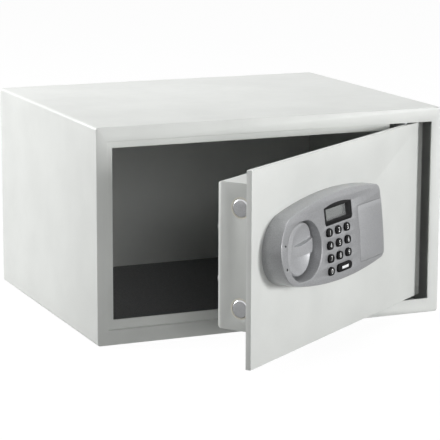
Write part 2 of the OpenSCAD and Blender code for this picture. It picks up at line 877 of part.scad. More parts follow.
// Bent steel frame of the solenoid
module solenoid_frame() {
    x0 = plunger_x - solenoid_w / 2;
    x1 = plunger_x + solenoid_w / 2;
    front = plunger_d + coil_r;
    color("silver") swung() difference() {
        union() {
            block(x0, x1, solenoid_back - solenoid_t, solenoid_back, solenoid_z0, solenoid_z1);
            block(x0, x1, solenoid_back, front, solenoid_z0, solenoid_z0 + solenoid_t);
            block(x0, x1, solenoid_back, front, solenoid_z1 - solenoid_t, solenoid_z1);
        }
        rod_z(plunger_x, plunger_d, solenoid_z0 - through, solenoid_z0 + solenoid_t + through,
            plunger_r + seat_gap);
    }
}

module solenoid_coil() {
    color("darkred") swung() difference() {
        rod_z(plunger_x, plunger_d, solenoid_z0 + solenoid_t, solenoid_z1 - solenoid_t, coil_r);
        rod_z(plunger_x, plunger_d, solenoid_z0, solenoid_z1 - solenoid_t - 3, plunger_r + seat_gap);
    }
}

// Plunger, drawn back clear of the carriage's notch
module solenoid_plunger() {
    color("lightgray") swung() {
        rod_z(plunger_x, plunger_d, plunger_z0, solenoid_z1 - solenoid_t - 5, plunger_r);
        rod_z(plunger_x, plunger_d, plunger_collar_z, plunger_collar_z + plunger_collar_h,
            plunger_collar_r);
    }
}

// Return spring between the plunger's collar and the solenoid, drawn as a sleeve
module plunger_spring() {
    color("gray") swung() difference() {
        rod_z(plunger_x, plunger_d, plunger_collar_z + plunger_collar_h + seat_gap / 2,
            solenoid_z0 - seat_gap / 2, plunger_r + 1.1);
        rod_z(plunger_x, plunger_d, plunger_collar_z, solenoid_z0, plunger_r + 0.3);
    }
}

// Tray for four cells, open towards the box's back
module battery_holder() {
    x1 = holder_x0 + holder_w;
    z0 = holder_z - holder_h / 2;
    z1 = holder_z + holder_h / 2;
    color("black") swung() difference() {
        block(holder_x0, x1, holder_d0, box_inner, z0, z1);
        block(holder_x0 + holder_t, x1 - holder_t, holder_d0 + holder_t, box_inner + through,
            z0 + holder_t, z1 - holder_t);
    }
}

// Four cells, each with its contact nub, alternating
module battery_cells() {
    middle = holder_x0 + holder_w / 2;
    color("dimgray") swung() for (i = [0:cell_count - 1]) {
        z = holder_z + (i - (cell_count - 1) / 2) * cell_pitch;
        way = i % 2 == 0 ? 1 : -1;
        rod_x(cell_d, z, middle - cell_l / 2, middle + cell_l / 2, cell_r);
        nub = middle + way * (cell_l + nub_h) / 2;
        rod_x(cell_d, z, nub - nub_h / 2, nub + nub_h / 2, nub_r);
    }
}

// Battery cover, flush in the box's back, with a thumb groove
module battery_cover() {
    x0 = holder_x0 + cover_lip + cover_gap;
    x1 = holder_x0 + holder_w - cover_lip - cover_gap;
    z0 = holder_z - holder_h / 2 + cover_lip + cover_gap;
    z1 = holder_z + holder_h / 2 - cover_lip - cover_gap;
    color("dimgray") swung() difference() {
        block(x0, x1, box_inner + 0.2, box_back, z0, z1);
        for (i = [0:4]) block(x0 + 4 + 2 * i, x0 + 5 + 2 * i, box_back - 0.5, box_back + through,
            holder_z - 8, holder_z + 8);
    }
}

module reset_switch() {
    color("black") swung() difference() {
        block(reset_x - switch_w / 2, reset_x + switch_w / 2, box_inner - switch_d, box_inner,
            reset_z - switch_w / 2, reset_z + switch_w / 2);
        rod_y(reset_x, reset_z, box_inner - switch_d / 2 - reset_travel, box_inner + through,
            reset_r + run_gap);
    }
}

module reset_button() {
    color("red") swung() rod_y(reset_x, reset_z, box_inner - switch_d / 2 + 2 * seat_gap,
        box_back + reset_out, reset_r);
}

// Outline of the lock housing in X and Z, shrunk by inset: two long arches, a round
// end that meets them smoothly, and a blunt end with round corners
module housing_outline(inset) {
    corner_x = housing_x1 - corner_r;
    corner_z = arch_half(corner_x) - corner_r;
    join_x = end_x - end_r * (arch_x - end_x) / (arch_r - end_r);
    translate([end_x, housing_z]) circle(end_r - inset, $fn = 180);
    intersection() {
        translate([arch_x, housing_z - arch_k]) circle(arch_r - inset, $fn = 720);
        translate([arch_x, housing_z + arch_k]) circle(arch_r - inset, $fn = 720);
        union() {
            translate([join_x, housing_z - housing_h]) square([corner_x - join_x, 2 * housing_h]);
            translate([join_x, housing_z - corner_z])
                square([housing_x1 - inset - join_x, 2 * corner_z]);
            for (side = [-1, 1]) translate([corner_x, housing_z + side * corner_z])
                circle(corner_r - inset);
        }
    }
}

// The big round bulk whose skin is the housing's leaning face, shrunk by inset
module face_bulk(inset) {
    translate([-body_w, depth(face_d), face_z]) rotate([0, 90, 0])
        cylinder(r = face_r - inset, h = 2 * body_w, $fn = 720);
}

// The whole housing as a bulk, shrunk by inset, from depth d1 outwards
module housing_bulk(inset, d1) {
    intersection() {
        face_prism(-face_top, d1) housing_outline(inset);
        face_bulk(inset);
    }
}

// Where the sliding cover lies: the blunt end between its two step lines
module cover_zone(gap) {
    block(cover_x0 + gap, housing_x1 + 2 * through, -face_top, -2,
        cover_z - cover_h / 2 + gap, cover_z + cover_h / 2 - gap);
}

// Round posts inside the housing that its screws and the board's screws bite in
module housing_bosses() {
    for (s = housing_screw_spots) rod_y(s[0], s[1], -face_top, 0, boss_r);
    for (s = board_spots) rod_y(s[0], s[1], -face_top, -board_out, board_screw_r + board_boss_wall);
}

module key_outlines(w, h) {
    for (row = [0:2], column = [0:2])
        translate([key_x0 + column * key_pitch_x, key_z0 - row * key_pitch_z]) slot_outline(w, h);
    translate([key_x0, key_z0 - 3 * key_pitch_z]) slot_outline(w, h);
    translate([key_x0 + 1.5 * key_pitch_x, key_z0 - 3 * key_pitch_z])
        slot_outline(w + key_pitch_x, h);
}

// Display bezel's outline, with its arched top
module display_outline(inset) {
    intersection() {
        translate([display_x - display_w / 2 + inset, display_z0 + inset])
            round_rect(display_w - 2 * inset, display_h - 2 * inset, display_corner - inset);
        translate([display_x, display_z0 + display_h - display_arch])
            circle(display_arch - inset, $fn = 360);
    }
}

// The recess's mouth, drawn out over a shallow ledge, grown all round by more
module recess_mouth(more) {
    translate([knob_x - mouth_w, lock_z]) circle(recess_r + more);
    translate([knob_x - mouth_w, lock_z - recess_r - more]) square([mouth_w, 2 * (recess_r + more)]);
}

// Moulded housing: leaning face, knob recess, wells, display opening and cover seat
module lock_housing() {
    color("silver") swung() difference() {
        housing_bulk(0, 0);
        difference() {
            housing_bulk(shell_t, through);
            rod_y(knob_x, lock_z, -face_top, 0, recess_r + cup_t);
            face_prism(-face_top, cup_t - ledge_out) recess_mouth(cup_t);
            housing_bosses();
        }
        rod_y(knob_x, lock_z, -face_top, -recess_floor, recess_r);
        face_prism(-face_top, -ledge_out) recess_mouth(0);
        rod_y(knob_x, lock_z, -recess_floor - through, through, spindle_r + 0.4);
        for (s = housing_screw_spots) rod_y(s[0], s[1], -boss_out, through, boss_bore_r + run_gap);
        for (s = board_spots)
            rod_y(s[0], s[1], -board_out - board_screw_l - board_bore_past, 0, board_screw_r + run_gap);
        for (z = [-lamp_z, lamp_z])
            rod_y(lamp_x, lock_z + z, -face_top, -face_h / 2, lamp_r + run_gap);
        face_prism(-face_top, -frame_d0 + 0.2)
            key_outlines(key_w + 2 * key_gap, key_h + 2 * key_gap);
        face_prism(-face_top, -panel_out) display_outline(0);
        difference() {
            cover_zone(0);
            housing_bulk(cover_t + 0.15, 1);
        }
        rod_y(cylinder_x, lock_z, -face_top, through, cylinder_r + cylinder_hole_gap);
    }
}

// Screws through the door plate into the housing
module housing_screws() {
    color("dimgray") swung() for (s = housing_screw_spots) {
        rod_y(s[0], s[1], boss_bore_past - boss_out, door_t, boss_bore_r);
        rod_y(s[0], s[1], door_t, door_t + housing_head_h, screw_head_r);
    }
}

// Two small signal lamps set in the housing's face
module signal_lamps() {
    color("darkgreen") swung() for (z = [-lamp_z, lamp_z]) intersection() {
        rod_y(lamp_x, lock_z + z, -face_top, -face_h + shell_t + 4, lamp_r);
        face_bulk(0.1);
    }
}

// Cover that slides off sideways and hides the key lock
module key_cover() {
    color("darkgray") swung() intersection() {
        difference() {
            housing_bulk(0, -3);
            housing_bulk(cover_t, 1);
        }
        cover_zone(cover_gap);
    }
}

// Fixed barrel of the key lock, with its flange on the door plate
module key_cylinder() {
    color("gold") swung() difference() {
        union() {
            rod_y(cylinder_x, lock_z, -cylinder_out, cylinder_back, cylinder_r);
            rod_y(cylinder_x, lock_z, -cylinder_flange_t, 0, cylinder_r + cylinder_flange);
        }
        rod_y(cylinder_x, lock_z, -cylinder_out - through, cylinder_back + through, plug_r + run_gap);
    }
}

module cylinder_nut() {
    color("silver") swung() difference() {
        translate([cylinder_x, depth(door_t), lock_z]) rotate([-90, 0, 0])
            cylinder(r = nut_r, h = nut_t, $fn = 6);
        rod_y(cylinder_x, lock_z, door_t - through, door_t + nut_t + through, cylinder_r + seat_gap);
    }
}

// Turning plug with its keyway
module key_plug() {
    color("goldenrod") swung() difference() {
        rod_y(cylinder_x, lock_z, -cylinder_out, cylinder_back + plug_tail, plug_r);
        block(cylinder_x - keyway_w / 2, cylinder_x + keyway_w / 2, -cylinder_out - through,
            20 - cylinder_out,
            lock_z - 3.6, lock_z + 2.8);
    }
}

// Cam arm on the plug's tail, hanging down, with its screw head
module key_cam() {
    d = cylinder_back + plug_tail;
    color("gray") swung() {
        rod_y(cylinder_x, lock_z, d, d + cam_t, cam_hub_r);
        block(cylinder_x - cam_w / 2, cylinder_x + cam_w / 2, d, d + cam_t, lock_z - cam_l, lock_z);
        rod_y(cylinder_x, lock_z, d + cam_t, d + 2 * cam_t, cam_screw_r);
    }
}

module display_bezel() {
    color("black") swung() difference() {
        intersection() {
            face_prism(-face_top, -panel_out) display_outline(0.15);
            face_bulk(display_sink);
        }
        face_prism(-face_top - through, -panel_out + through) window_outline(0);
    }
}

// Clear window's outline: the rim is wider at the hinge side
module window_outline(inset) {
    translate([display_x - display_w / 2 + display_rim + inset, display_z0 + display_rim + inset])
        square([display_w - 3.4 * display_rim - 2 * inset, display_h - 2 * display_rim - 2 * inset]);
}

module display_window() {
    color("lightsteelblue", 0.5) swung() difference() {
        intersection() {
            face_prism(-face_top, -panel_out) window_outline(0.1);
            face_bulk(display_sink + window_sink);
        }
        face_bulk(display_sink + window_sink + window_t);
    }
}

// Liquid crystal panel, carried on the board by its backing block
module display_panel() {
    x0 = display_x - display_w / 2;
    color("slategray") swung() {
        block(x0 + 1, x0 + display_w - 1, -panel_out, -board_out,
            display_z0 + 1, display_z0 + display_h - 2.6);
        block(x0 + display_rim + 0.4, x0 + display_w - 2.4 * display_rim - 0.4,
            -panel_out - 1.2, -panel_out, display_z0 + display_rim + 0.4,
            display_z0 + display_h - display_rim - 0.4);
    }
}

// Plate under the face that guides the keys, standing on the board by its two side walls
module keypad_frame() {
    color("black") swung() difference() {
        block(frame_x0, frame_x1, -frame_d0, -board_out, frame_z0, frame_z1);
        block(frame_x0 + frame_wall, frame_x1 - frame_wall, -frame_under, through, frame_z0 - through,
            frame_z1 + through);
        face_prism(-face_top, -frame_under + through)
            key_outlines(key_w + 2 * seat_gap, key_h + 2 * seat_gap);
    }
}

// Rubber mat with a dome under each key
module keypad_mat() {
    side = frame_wall + mat_side;
    color("dimgray") swung() block(frame_x0 + side, frame_x1 - side, -mat_out, -board_out,
        frame_z0, frame_z1);
}

module circuit_board() {
    color("darkgreen") swung() difference() {
        block(board_x0, board_x1, -board_out, -board_out + board_t, board_z0, board_z1);
        rod_y(knob_x, lock_z, -board_out - through, 0, recess_r + cup_t + board_cup_gap);
        for (s = board_spots) rod_y(s[0], s[1], -board_out - through, 0, board_screw_r + seat_gap);
    }
}

module board_screws() {
    color("dimgray") swung() for (s = board_spots) {
        rod_y(s[0], s[1], -board_out - board_screw_l, -board_out + board_t, board_screw_r);
        rod_y(s[0], s[1], -board_out + board_t, -board_out + board_t + board_head_h, board_head_r);
    }
}

// One straight length of wiring
module loom_run(a, b) {
    span = b - a;
    if (abs(span[0]) > 0.01) rod_x(a[1], a[2], min(a[0], b[0]), max(a[0], b[0]), loom_r);
    if (abs(span[1]) > 0.01) rod_y(a[0], a[2], min(a[1], b[1]), max(a[1], b[1]), loom_r);
    if (abs(span[2]) > 0.01) rod_z(a[0], a[1], min(a[2], b[2]), max(a[2], b[2]), loom_r);
}

module wiring_loom() {
    color("red") swung() for (path = loom_paths) {
        for (i = [1:len(path) - 1]) loom_run(path[i - 1], path[i]);
        for (i = [1:len(path) - 2])
            translate([path[i][0], depth(path[i][1]), path[i][2]]) sphere(loom_r);
    }
}

// One key: its cap stands through the face, its flange rests under the guide plate
module keypad_key(row, column, wide) {
    x = key_x0 + column * key_pitch_x;
    z = key_z0 - row * key_pitch_z;
    w = key_w + wide;
    color("black") swung() {
        intersection() {
            face_prism(-face_top, -frame_under + seat_gap) translate([x, z]) slot_outline(w, key_h);
            face_bulk(-key_proud);
        }
        face_prism(-frame_under + seat_gap, -frame_under + seat_gap + flange_t)
            translate([x, z]) slot_outline(w + 2 * flange_rim, key_h + 2 * flange_rim);
    }
}

module key_1() { keypad_key(0, 0, 0); }
module key_2() { keypad_key(0, 1, 0); }
module key_3() { keypad_key(0, 2, 0); }
module key_4() { keypad_key(1, 0, 0); }
module key_5() { keypad_key(1, 1, 0); }
module key_6() { keypad_key(1, 2, 0); }
module key_7() { keypad_key(2, 0, 0); }
module key_8() { keypad_key(2, 1, 0); }
module key_9() { keypad_key(2, 2, 0); }
module key_0() { keypad_key(3, 0, 0); }
module key_lock() { keypad_key(3, 1.5, key_pitch_x); }

body_shell();
back_panel();
stop_frame();
strike_plate();
hinge_brackets();
hinge_pins();
floor_felt();
door_plate();
hinge_blocks();
hinge_washers();
bolt_box();
box_posts();
box_screws();
bolt_bushes();
carriage_posts();
carriage_screws();
bolt_carriage();
locking_bolts();
bolt_screws();
knob();
knob_spindle();
spindle_bush();
solenoid_bracket();
solenoid_frame();
solenoid_coil();
solenoid_plunger();
plunger_spring();
battery_holder();
battery_cells();
battery_cover();
reset_switch();
reset_button();
lock_housing();
housing_screws();
key_cover();
key_cylinder();
cylinder_nut();
key_plug();
key_cam();
display_bezel();
display_window();
display_panel();
signal_lamps();
keypad_frame();
keypad_mat();
circuit_board();
board_screws();
wiring_loom();
key_1();
key_2();
key_3();
key_4();
key_5();
key_6();
key_7();
key_8();
key_9();
key_0();
key_lock();
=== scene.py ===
"""Looks of the electronic safe: eased copies of its solids, finishes, camera and lights."""
import math

import bpy
from mathutils import Matrix, Vector


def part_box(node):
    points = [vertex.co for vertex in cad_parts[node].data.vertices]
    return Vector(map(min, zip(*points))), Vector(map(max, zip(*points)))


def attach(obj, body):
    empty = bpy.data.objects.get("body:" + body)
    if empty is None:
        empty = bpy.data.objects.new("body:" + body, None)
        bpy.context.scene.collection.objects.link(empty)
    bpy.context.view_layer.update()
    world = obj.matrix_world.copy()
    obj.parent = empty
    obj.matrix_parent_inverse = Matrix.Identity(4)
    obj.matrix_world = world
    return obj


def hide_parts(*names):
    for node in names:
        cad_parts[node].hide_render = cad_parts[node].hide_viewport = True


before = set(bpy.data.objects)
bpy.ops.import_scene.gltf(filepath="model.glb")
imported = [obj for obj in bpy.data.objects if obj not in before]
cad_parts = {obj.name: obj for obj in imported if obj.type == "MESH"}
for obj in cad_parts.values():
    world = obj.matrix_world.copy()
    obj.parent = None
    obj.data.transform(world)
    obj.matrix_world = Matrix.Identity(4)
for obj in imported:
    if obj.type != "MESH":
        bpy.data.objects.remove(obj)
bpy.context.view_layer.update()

# Sizes in millimetres that the looks share with the solids

DOOR_OPEN = 35.5
PIVOT = (138.8, -134.3)
DOOR_FRONT = -142.5
KNOB_X = -100.8
LOCK_Z = 108.8
RECESS_R = 25.5
RECESS_MOUTH_W = 8.5
HOUSING_END_X = 41.5
FACE_R = 600.0
FACE_Z = 55.46
FACE_D = 578.2
KEY_PROUD = 1.7
KEY_X0 = -61.6
KEY_Z0 = 117.2
KEY_PITCH_X = 16.2
KEY_PITCH_Z = 11.3

# Sizes in millimetres that only the looks have

RIM_ROUND = 3.0
RECESS_ROUND = 0.8
KEY_ROUND = 0.45
KNOB_ROUND = 0.6
DIGIT_H = 6.2
LOCK_BAR_W = 12.0
LOCK_BAR_H = 2.4
INK_LIFT = 0.02
SPRING_WIRE_R = 0.35

# An edge belongs to a line that it lies this near to, in millimetres

EDGE_REACH = 0.3
RECESS_REACH = 0.8

# The recess's upper edge lies farther out from the door plate than this, and its ledge less far

RECESS_EDGE_OUT = 12.0

# A normal runs along a line where their product is over the first, and across it under the second

ALONG_LINE = 0.9
ACROSS_LINE = 0.3

MM = 0.001


# Places on the open door

SWING = (
    Matrix.Translation((PIVOT[0] * MM, PIVOT[1] * MM, 0))
    @ Matrix.Rotation(math.radians(DOOR_OPEN), 4, "Z")
    @ Matrix.Translation((-PIVOT[0] * MM, -PIVOT[1] * MM, 0))
)
DOOR_OUT = SWING.to_3x3() @ Vector((0, -1, 0))
DOOR_ALONG = SWING.to_3x3() @ Vector((1, 0, 0))


def on_door(x, out, z):
    """The place on the open door at x and z in millimetres, out from its front plate."""
    return SWING @ Vector((x * MM, (DOOR_FRONT - out) * MM, z * MM))


def face_out(z):
    """How far the housing's leaning face stands out from the door plate at height z."""
    return math.sqrt(FACE_R**2 - (z - FACE_Z) ** 2) - FACE_D


# Colours and nodes of the finishes


def linear(code):
    """A colour written as sRGB hex, turned to the linear values that the shader takes."""
    values = []
    for start in (0, 2, 4):
        part = int(code[start : start + 2], 16) / 255
        values.append(part / 12.92 if part <= 0.04045 else ((part + 0.055) / 1.055) ** 2.4)
    return (*values, 1.0)


def add(tree, kind, settings, links):
    """Adds a node, sets its sockets or properties, and joins its inputs to other outputs."""
    node = tree.nodes.new(kind)
    for name, value in settings.items():
        if isinstance(name, int) or name in node.inputs:
            node.inputs[name].default_value = value
        else:
            setattr(node, name, value)
    for name, (source, output) in links.items():
        tree.links.new(source.outputs[output], node.inputs[name])
    return node


def new_finish(name, roughness, metallic, ior):
    """A material named for its substance, with its shader and its place on the object."""
    material = bpy.data.materials.new(name)
    material.use_nodes = True
    tree = material.node_tree
    shader = tree.nodes["Principled BSDF"]
    shader.inputs["Roughness"].default_value = roughness
    shader.inputs["Metallic"].default_value = metallic
    shader.inputs["IOR"].default_value = ior
    place = add(tree, "ShaderNodeTexCoord", {}, {})
    return material, tree, shader, place


def two_tones(tree, shader, place, patch_mm, dark, light, detail=4.0, low=0.35, high=0.65):
    """Colour that drifts between two close tones over patches of the given size."""
    noise = add(
        tree,
        "ShaderNodeTexNoise",
        {"Scale": 1000 / patch_mm, "Detail": detail},
        {"Vector": (place, "Object")},
    )
    ramp = add(tree, "ShaderNodeValToRGB", {}, {"Fac": (noise, "Fac")})
    ramp.color_ramp.elements[0].position = low
    ramp.color_ramp.elements[0].color = linear(dark)
    ramp.color_ramp.elements[1].position = high
    ramp.color_ramp.elements[1].color = linear(light)
    tree.links.new(ramp.outputs["Color"], shader.inputs["Base Color"])


def drifting_gloss(tree, shader, place, patch_mm, smooth, rough):
    """Roughness that drifts between two values over patches of the given size."""
    noise = add(
        tree,
        "ShaderNodeTexNoise",
        {"Scale": 1000 / patch_mm, "Detail": 3.0},
        {"Vector": (place, "Object")},
    )
    spread = add(
        tree,
        "ShaderNodeMapRange",
        {"From Min": 0.3, "From Max": 0.7, "To Min": smooth, "To Max": rough},
        {"Value": (noise, "Fac")},
    )
    tree.links.new(spread.outputs["Result"], shader.inputs["Roughness"])


def raised_grain(
    tree, shader, place, grain_mm, height_mm, strength, detail=2.0, stretch=(1, 1, 1)
):
    """Fine relief of one grain and height, drawn out along an axis where stretch is under 1."""
    turned = add(
        tree,
        "ShaderNodeMapping",
        {"Scale": stretch, "Rotation": (0, 0, -math.radians(DOOR_OPEN))},
        {"Vector": (place, "Object")},
    )
    noise = add(
        tree,
        "ShaderNodeTexNoise",
        {"Scale": 1000 / grain_mm, "Detail": detail},
        {"Vector": (turned, "Vector")},
    )
    relief = add(
        tree,
        "ShaderNodeBump",
        {"Strength": strength, "Distance": height_mm * MM},
        {"Height": (noise, "Fac")},
    )
    tree.links.new(relief.outputs["Normal"], shader.inputs["Normal"])


def powder_coated_steel(name, dark, light):
    """Sheet steel with a baked polyester powder coat: a satin skin with a soft orange peel."""
    material, tree, shader, place = new_finish(name, roughness=0.42, metallic=0.0, ior=1.5)
    two_tones(tree, shader, place, 60, dark, light)
    drifting_gloss(tree, shader, place, patch_mm=9, smooth=0.38, rough=0.46)
    # Orange peel has bumps about 1.6 mm apart and a few hundredths of a millimetre high
    raised_grain(tree, shader, place, grain_mm=1.6, height_mm=0.06, strength=0.3)
    return material


def bare_metal(name, dark, light, roughness, grain_mm, stretch):
    """Metal rolled, drawn or turned, bare or thinly plated, with streaks along the way of work."""
    material, tree, shader, place = new_finish(name, roughness, metallic=1.0, ior=1.5)
    two_tones(tree, shader, place, 12, dark, light)
    drifting_gloss(tree, shader, place, 5, roughness - 0.05, roughness + 0.08)
    raised_grain(tree, shader, place, grain_mm, height_mm=0.02, strength=0.25, stretch=stretch)
    return material


def grained_plastic(name, dark, light, roughness, grain_mm, height_mm, ior=1.53, shine=0.5):
    """Plastic, rubber, varnish or ink whose skin has a fine grain from its making."""
    material, tree, shader, place = new_finish(name, roughness, metallic=0.0, ior=ior)
    shader.inputs["Specular IOR Level"].default_value = shine
    two_tones(tree, shader, place, 20, dark, light)
    drifting_gloss(tree, shader, place, 6, roughness - 0.04, roughness + 0.05)
    raised_grain(tree, shader, place, grain_mm, height_mm, strength=0.3)
    return material


def silver_lacquer(name, dark, light, roughness):
    """Moulded ABS sprayed with silver lacquer: aluminium flakes under a thin clear skin."""
    material, tree, shader, place = new_finish(name, roughness, metallic=0.2, ior=1.5)
    shader.inputs["Coat Weight"].default_value = 0.25
    shader.inputs["Coat Roughness"].default_value = 0.22
    # Real flakes are 0.05 mm and are drawn at 0.7 mm so that they show at all
    two_tones(tree, shader, place, 0.7, dark, light, detail=1.0, low=0.3, high=0.7)
    drifting_gloss(tree, shader, place, 14, roughness - 0.03, roughness + 0.04)
    raised_grain(tree, shader, place, grain_mm=0.9, height_mm=0.02, strength=0.2)
    return material


# The object's own finishes

BODY_PAINT = powder_coated_steel("powder_coated_sheet_steel", "DDDFDC", "E3E5E2")
BOX_PAINT = powder_coated_steel("powder_coated_bolt_box", "CBCDCA", "D2D4D1")
ZINC_STEEL = bare_metal("zinc_plated_steel", "A9ACAE", "BFC1C3", 0.34, 0.8, (1, 1, 0.1))
HINGE_STEEL = bare_metal("cold_rolled_hinge_steel", "9B9C9E", "B2B3B5", 0.38, 0.9, (1, 1, 0.12))
BRIGHT_STEEL = bare_metal("chromed_bolt_steel", "D6D7D9", "E2E3E4", 0.2, 0.6, (0.05, 1, 1))
CARRIAGE_STEEL = bare_metal("galvanised_carriage_steel", "9DA1A4", "B4B8BA", 0.4, 1.4, (1, 1, 1))
SCREW_STEEL = bare_metal("zinc_plated_screw_steel", "A8A9AB", "BABBBD", 0.3, 0.5, (1, 1, 0.3))
BUSH_NYLON = grained_plastic("moulded_nylon_bush", "D8D5CA", "DEDBD1", 0.45, 0.6, 0.02)
SPINDLE_NYLON = grained_plastic("moulded_nylon_spindle_bush", "D6D2C6", "DCD9CE", 0.45, 0.6, 0.02)
HOUSING_SILVER = silver_lacquer("silver_lacquered_abs_housing", "969799", "AFB0B2", 0.34)
KNOB_SILVER = silver_lacquer("silver_lacquered_abs_knob", "A9AAAC", "BFC0C2", 0.36)
COVER_SILVER = silver_lacquer("silver_lacquered_abs_cover", "9C9D9F", "AEAFB1", 0.34)
BLACK_PLASTIC = grained_plastic("black_abs_mouldings", "121213", "19191A", 0.35, 0.5, 0.02)
BEZEL_BLACK = grained_plastic(
    "gloss_black_abs_bezel", "040405", "070708", 0.34, 0.8, 0.005, shine=0.15
)
KEY_RUBBER = grained_plastic(
    "black_silicone_rubber_keys", "060607", "0B0B0C", 0.55, 0.35, 0.02, ior=1.41, shine=0.2
)
RED_PLASTIC = grained_plastic("red_abs_reset_button", "A81C1C", "B62323", 0.35, 0.6, 0.02)
DIGIT_INK = grained_plastic("white_screen_printed_ink", "F0F1F1", "FAFAFA", 0.5, 0.3, 0.01)
LAMP_PLASTIC = grained_plastic(
    "dark_tinted_lamp_lens", "101512", "182019", 0.12, 0.4, 0.004, ior=1.49
)
BOARD_LAMINATE = grained_plastic(
    "glass_epoxy_board", "1F4A2C", "2A5A37", 0.4, 0.8, 0.02, ior=1.55
)
BRASS = bare_metal("machined_brass_cylinder", "B08D4E", "C6A464", 0.27, 0.5, (1, 0.1, 1))
COIL_WINDING = grained_plastic("varnished_copper_winding", "7A3E1C", "96522A", 0.32, 0.5, 0.12)
CELL_JACKET = grained_plastic("shrink_wrapped_cell_jacket", "2B2D30", "3A3C40", 0.25, 3.0, 0.02)
WIRE_JACKET = grained_plastic("pvc_wire_jacket", "7E1A1A", "932222", 0.42, 0.6, 0.01, ior=1.54)


def needle_felt():
    """Grey polyester felt, needled flat: short fibres lie every way and leave a soft, matt nap."""
    material, tree, shader, place = new_finish("grey_needle_felt", 0.95, 0.0, 1.5)
    shader.inputs["Sheen Weight"].default_value = 0.3
    shader.inputs["Sheen Roughness"].default_value = 0.5
    # Fibre tufts are about 1.2 mm, and the tone drifts over patches of 2 mm
    two_tones(tree, shader, place, 2.0, "38393B", "55575A", detail=6.0)
    raised_grain(tree, shader, place, 1.2, 0.5, 0.7, detail=6.0)
    return material


def crystal_display():
    """Reflective liquid crystal cell: a grey-green polariser film over a matt mirror."""
    material, tree, shader, place = new_finish("liquid_crystal_polariser", 0.35, 0.1, 1.5)
    two_tones(tree, shader, place, 25, "737772", "7F837E")
    raised_grain(tree, shader, place, 0.4, 0.01, 0.15)
    return material


def clear_window():
    """Thin clear acrylic: it shows what lies under it and mirrors the room a little."""
    material, tree, shader, place = new_finish("clear_acrylic_window", 0.08, 0.0, 1.49)
    shader.inputs["Alpha"].default_value = 0.22
    two_tones(tree, shader, place, 30, "C9CCCC", "D6D8D8")
    raised_grain(tree, shader, place, 15, 0.02, 0.1)
    return material


FLOOR_FELT = needle_felt()
DISPLAY_CELL = crystal_display()
CLEAR_WINDOW = clear_window()

# Which finish each solid that stays in view gets
PLAIN_FINISHES = {
    "back_panel": BODY_PAINT,
    "floor_felt": FLOOR_FELT,
    "hinge_pins": HINGE_STEEL,
    "hinge_washers": ZINC_STEEL,
    "box_posts": ZINC_STEEL,
    "box_screws": SCREW_STEEL,
    "bolt_bushes": BUSH_NYLON,
    "carriage_posts": ZINC_STEEL,
    "carriage_screws": SCREW_STEEL,
    "bolt_carriage": CARRIAGE_STEEL,
    "bolt_screws": SCREW_STEEL,
    "knob_spindle": ZINC_STEEL,
    "spindle_bush": SPINDLE_NYLON,
    "solenoid_bracket": ZINC_STEEL,
    "solenoid_frame": ZINC_STEEL,
    "solenoid_coil": COIL_WINDING,
    "solenoid_plunger": BRIGHT_STEEL,
    "battery_holder": BLACK_PLASTIC,
    "battery_cells": CELL_JACKET,
    "reset_switch": BLACK_PLASTIC,
    "reset_button": RED_PLASTIC,
    "housing_screws": SCREW_STEEL,
    "key_cylinder": BRASS,
    "cylinder_nut": ZINC_STEEL,
    "key_plug": BRASS,
    "key_cam": ZINC_STEEL,
    "display_window": CLEAR_WINDOW,
    "display_panel": DISPLAY_CELL,
    "signal_lamps": LAMP_PLASTIC,
    "keypad_frame": BLACK_PLASTIC,
    "keypad_mat": KEY_RUBBER,
    "circuit_board": BOARD_LAMINATE,
    "board_screws": SCREW_STEEL,
    "wiring_loom": WIRE_JACKET,
}


def dress(item, material):
    """Gives every material slot of a piece the same finish."""
    if not item.material_slots:
        item.data.materials.append(material)
    for place in item.material_slots:
        place.material = material


for node, material in PLAIN_FINISHES.items():
    dress(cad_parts[node], material)


# Shaping of the eased copies


def take(piece):
    """Makes a piece the only chosen one."""
    for chosen in list(bpy.context.selected_objects):
        chosen.select_set(False)
    bpy.context.view_layer.objects.active = piece
    piece.select_set(True)


def welded_copy(node):
    """A copy of a solid's mesh with its loose triangles joined and its flat faces made whole."""
    piece = bpy.data.objects.new(node + "_eased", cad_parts[node].data.copy())
    bpy.context.scene.collection.objects.link(piece)
    take(piece)
    bpy.ops.object.mode_set(mode="EDIT")
    bpy.ops.mesh.select_all(action="SELECT")
    bpy.ops.mesh.remove_doubles(threshold=2e-6)
    bpy.ops.mesh.dissolve_limited(angle_limit=math.radians(0.4))
    bpy.ops.mesh.customdata_custom_splitnormals_clear()
    bpy.ops.object.mode_set(mode="OBJECT")
    return piece


def bevel_edges(piece, radius_mm, segments, wanted):
    """Rounds the edges for which wanted(normal, other normal, middle) holds."""
    mesh = piece.data
    sides = {}
    for face in mesh.polygons:
        for key in face.edge_keys:
            sides.setdefault(key, []).append(face.normal.copy())
    for group in (mesh.vertices, mesh.polygons):
        for item in group:
            item.select = False
    for edge in mesh.edges:
        pair = sides.get(edge.key, [])
        a, b = (mesh.vertices[i].co for i in edge.vertices)
        edge.select = len(pair) == 2 and wanted(pair[0], pair[1], (a + b) / 2)
    take(piece)
    bpy.context.tool_settings.mesh_select_mode = (False, True, False)
    bpy.ops.object.mode_set(mode="EDIT")
    bpy.ops.mesh.bevel(
        offset=radius_mm * MM, segments=segments, profile=0.5, clamp_overlap=True
    )
    bpy.ops.object.mode_set(mode="OBJECT")


def ease_all(piece, radius_mm, segments, sharper_than=32):
    """Rounds every edge that turns by more than the given angle, and keeps it as the mesh."""
    take(piece)
    easing = piece.modifiers.new("easing", "BEVEL")
    easing.width = radius_mm * MM
    easing.segments = segments
    easing.limit_method = "ANGLE"
    easing.angle_limit = math.radians(sharper_than)
    bpy.ops.object.modifier_apply(modifier=easing.name)


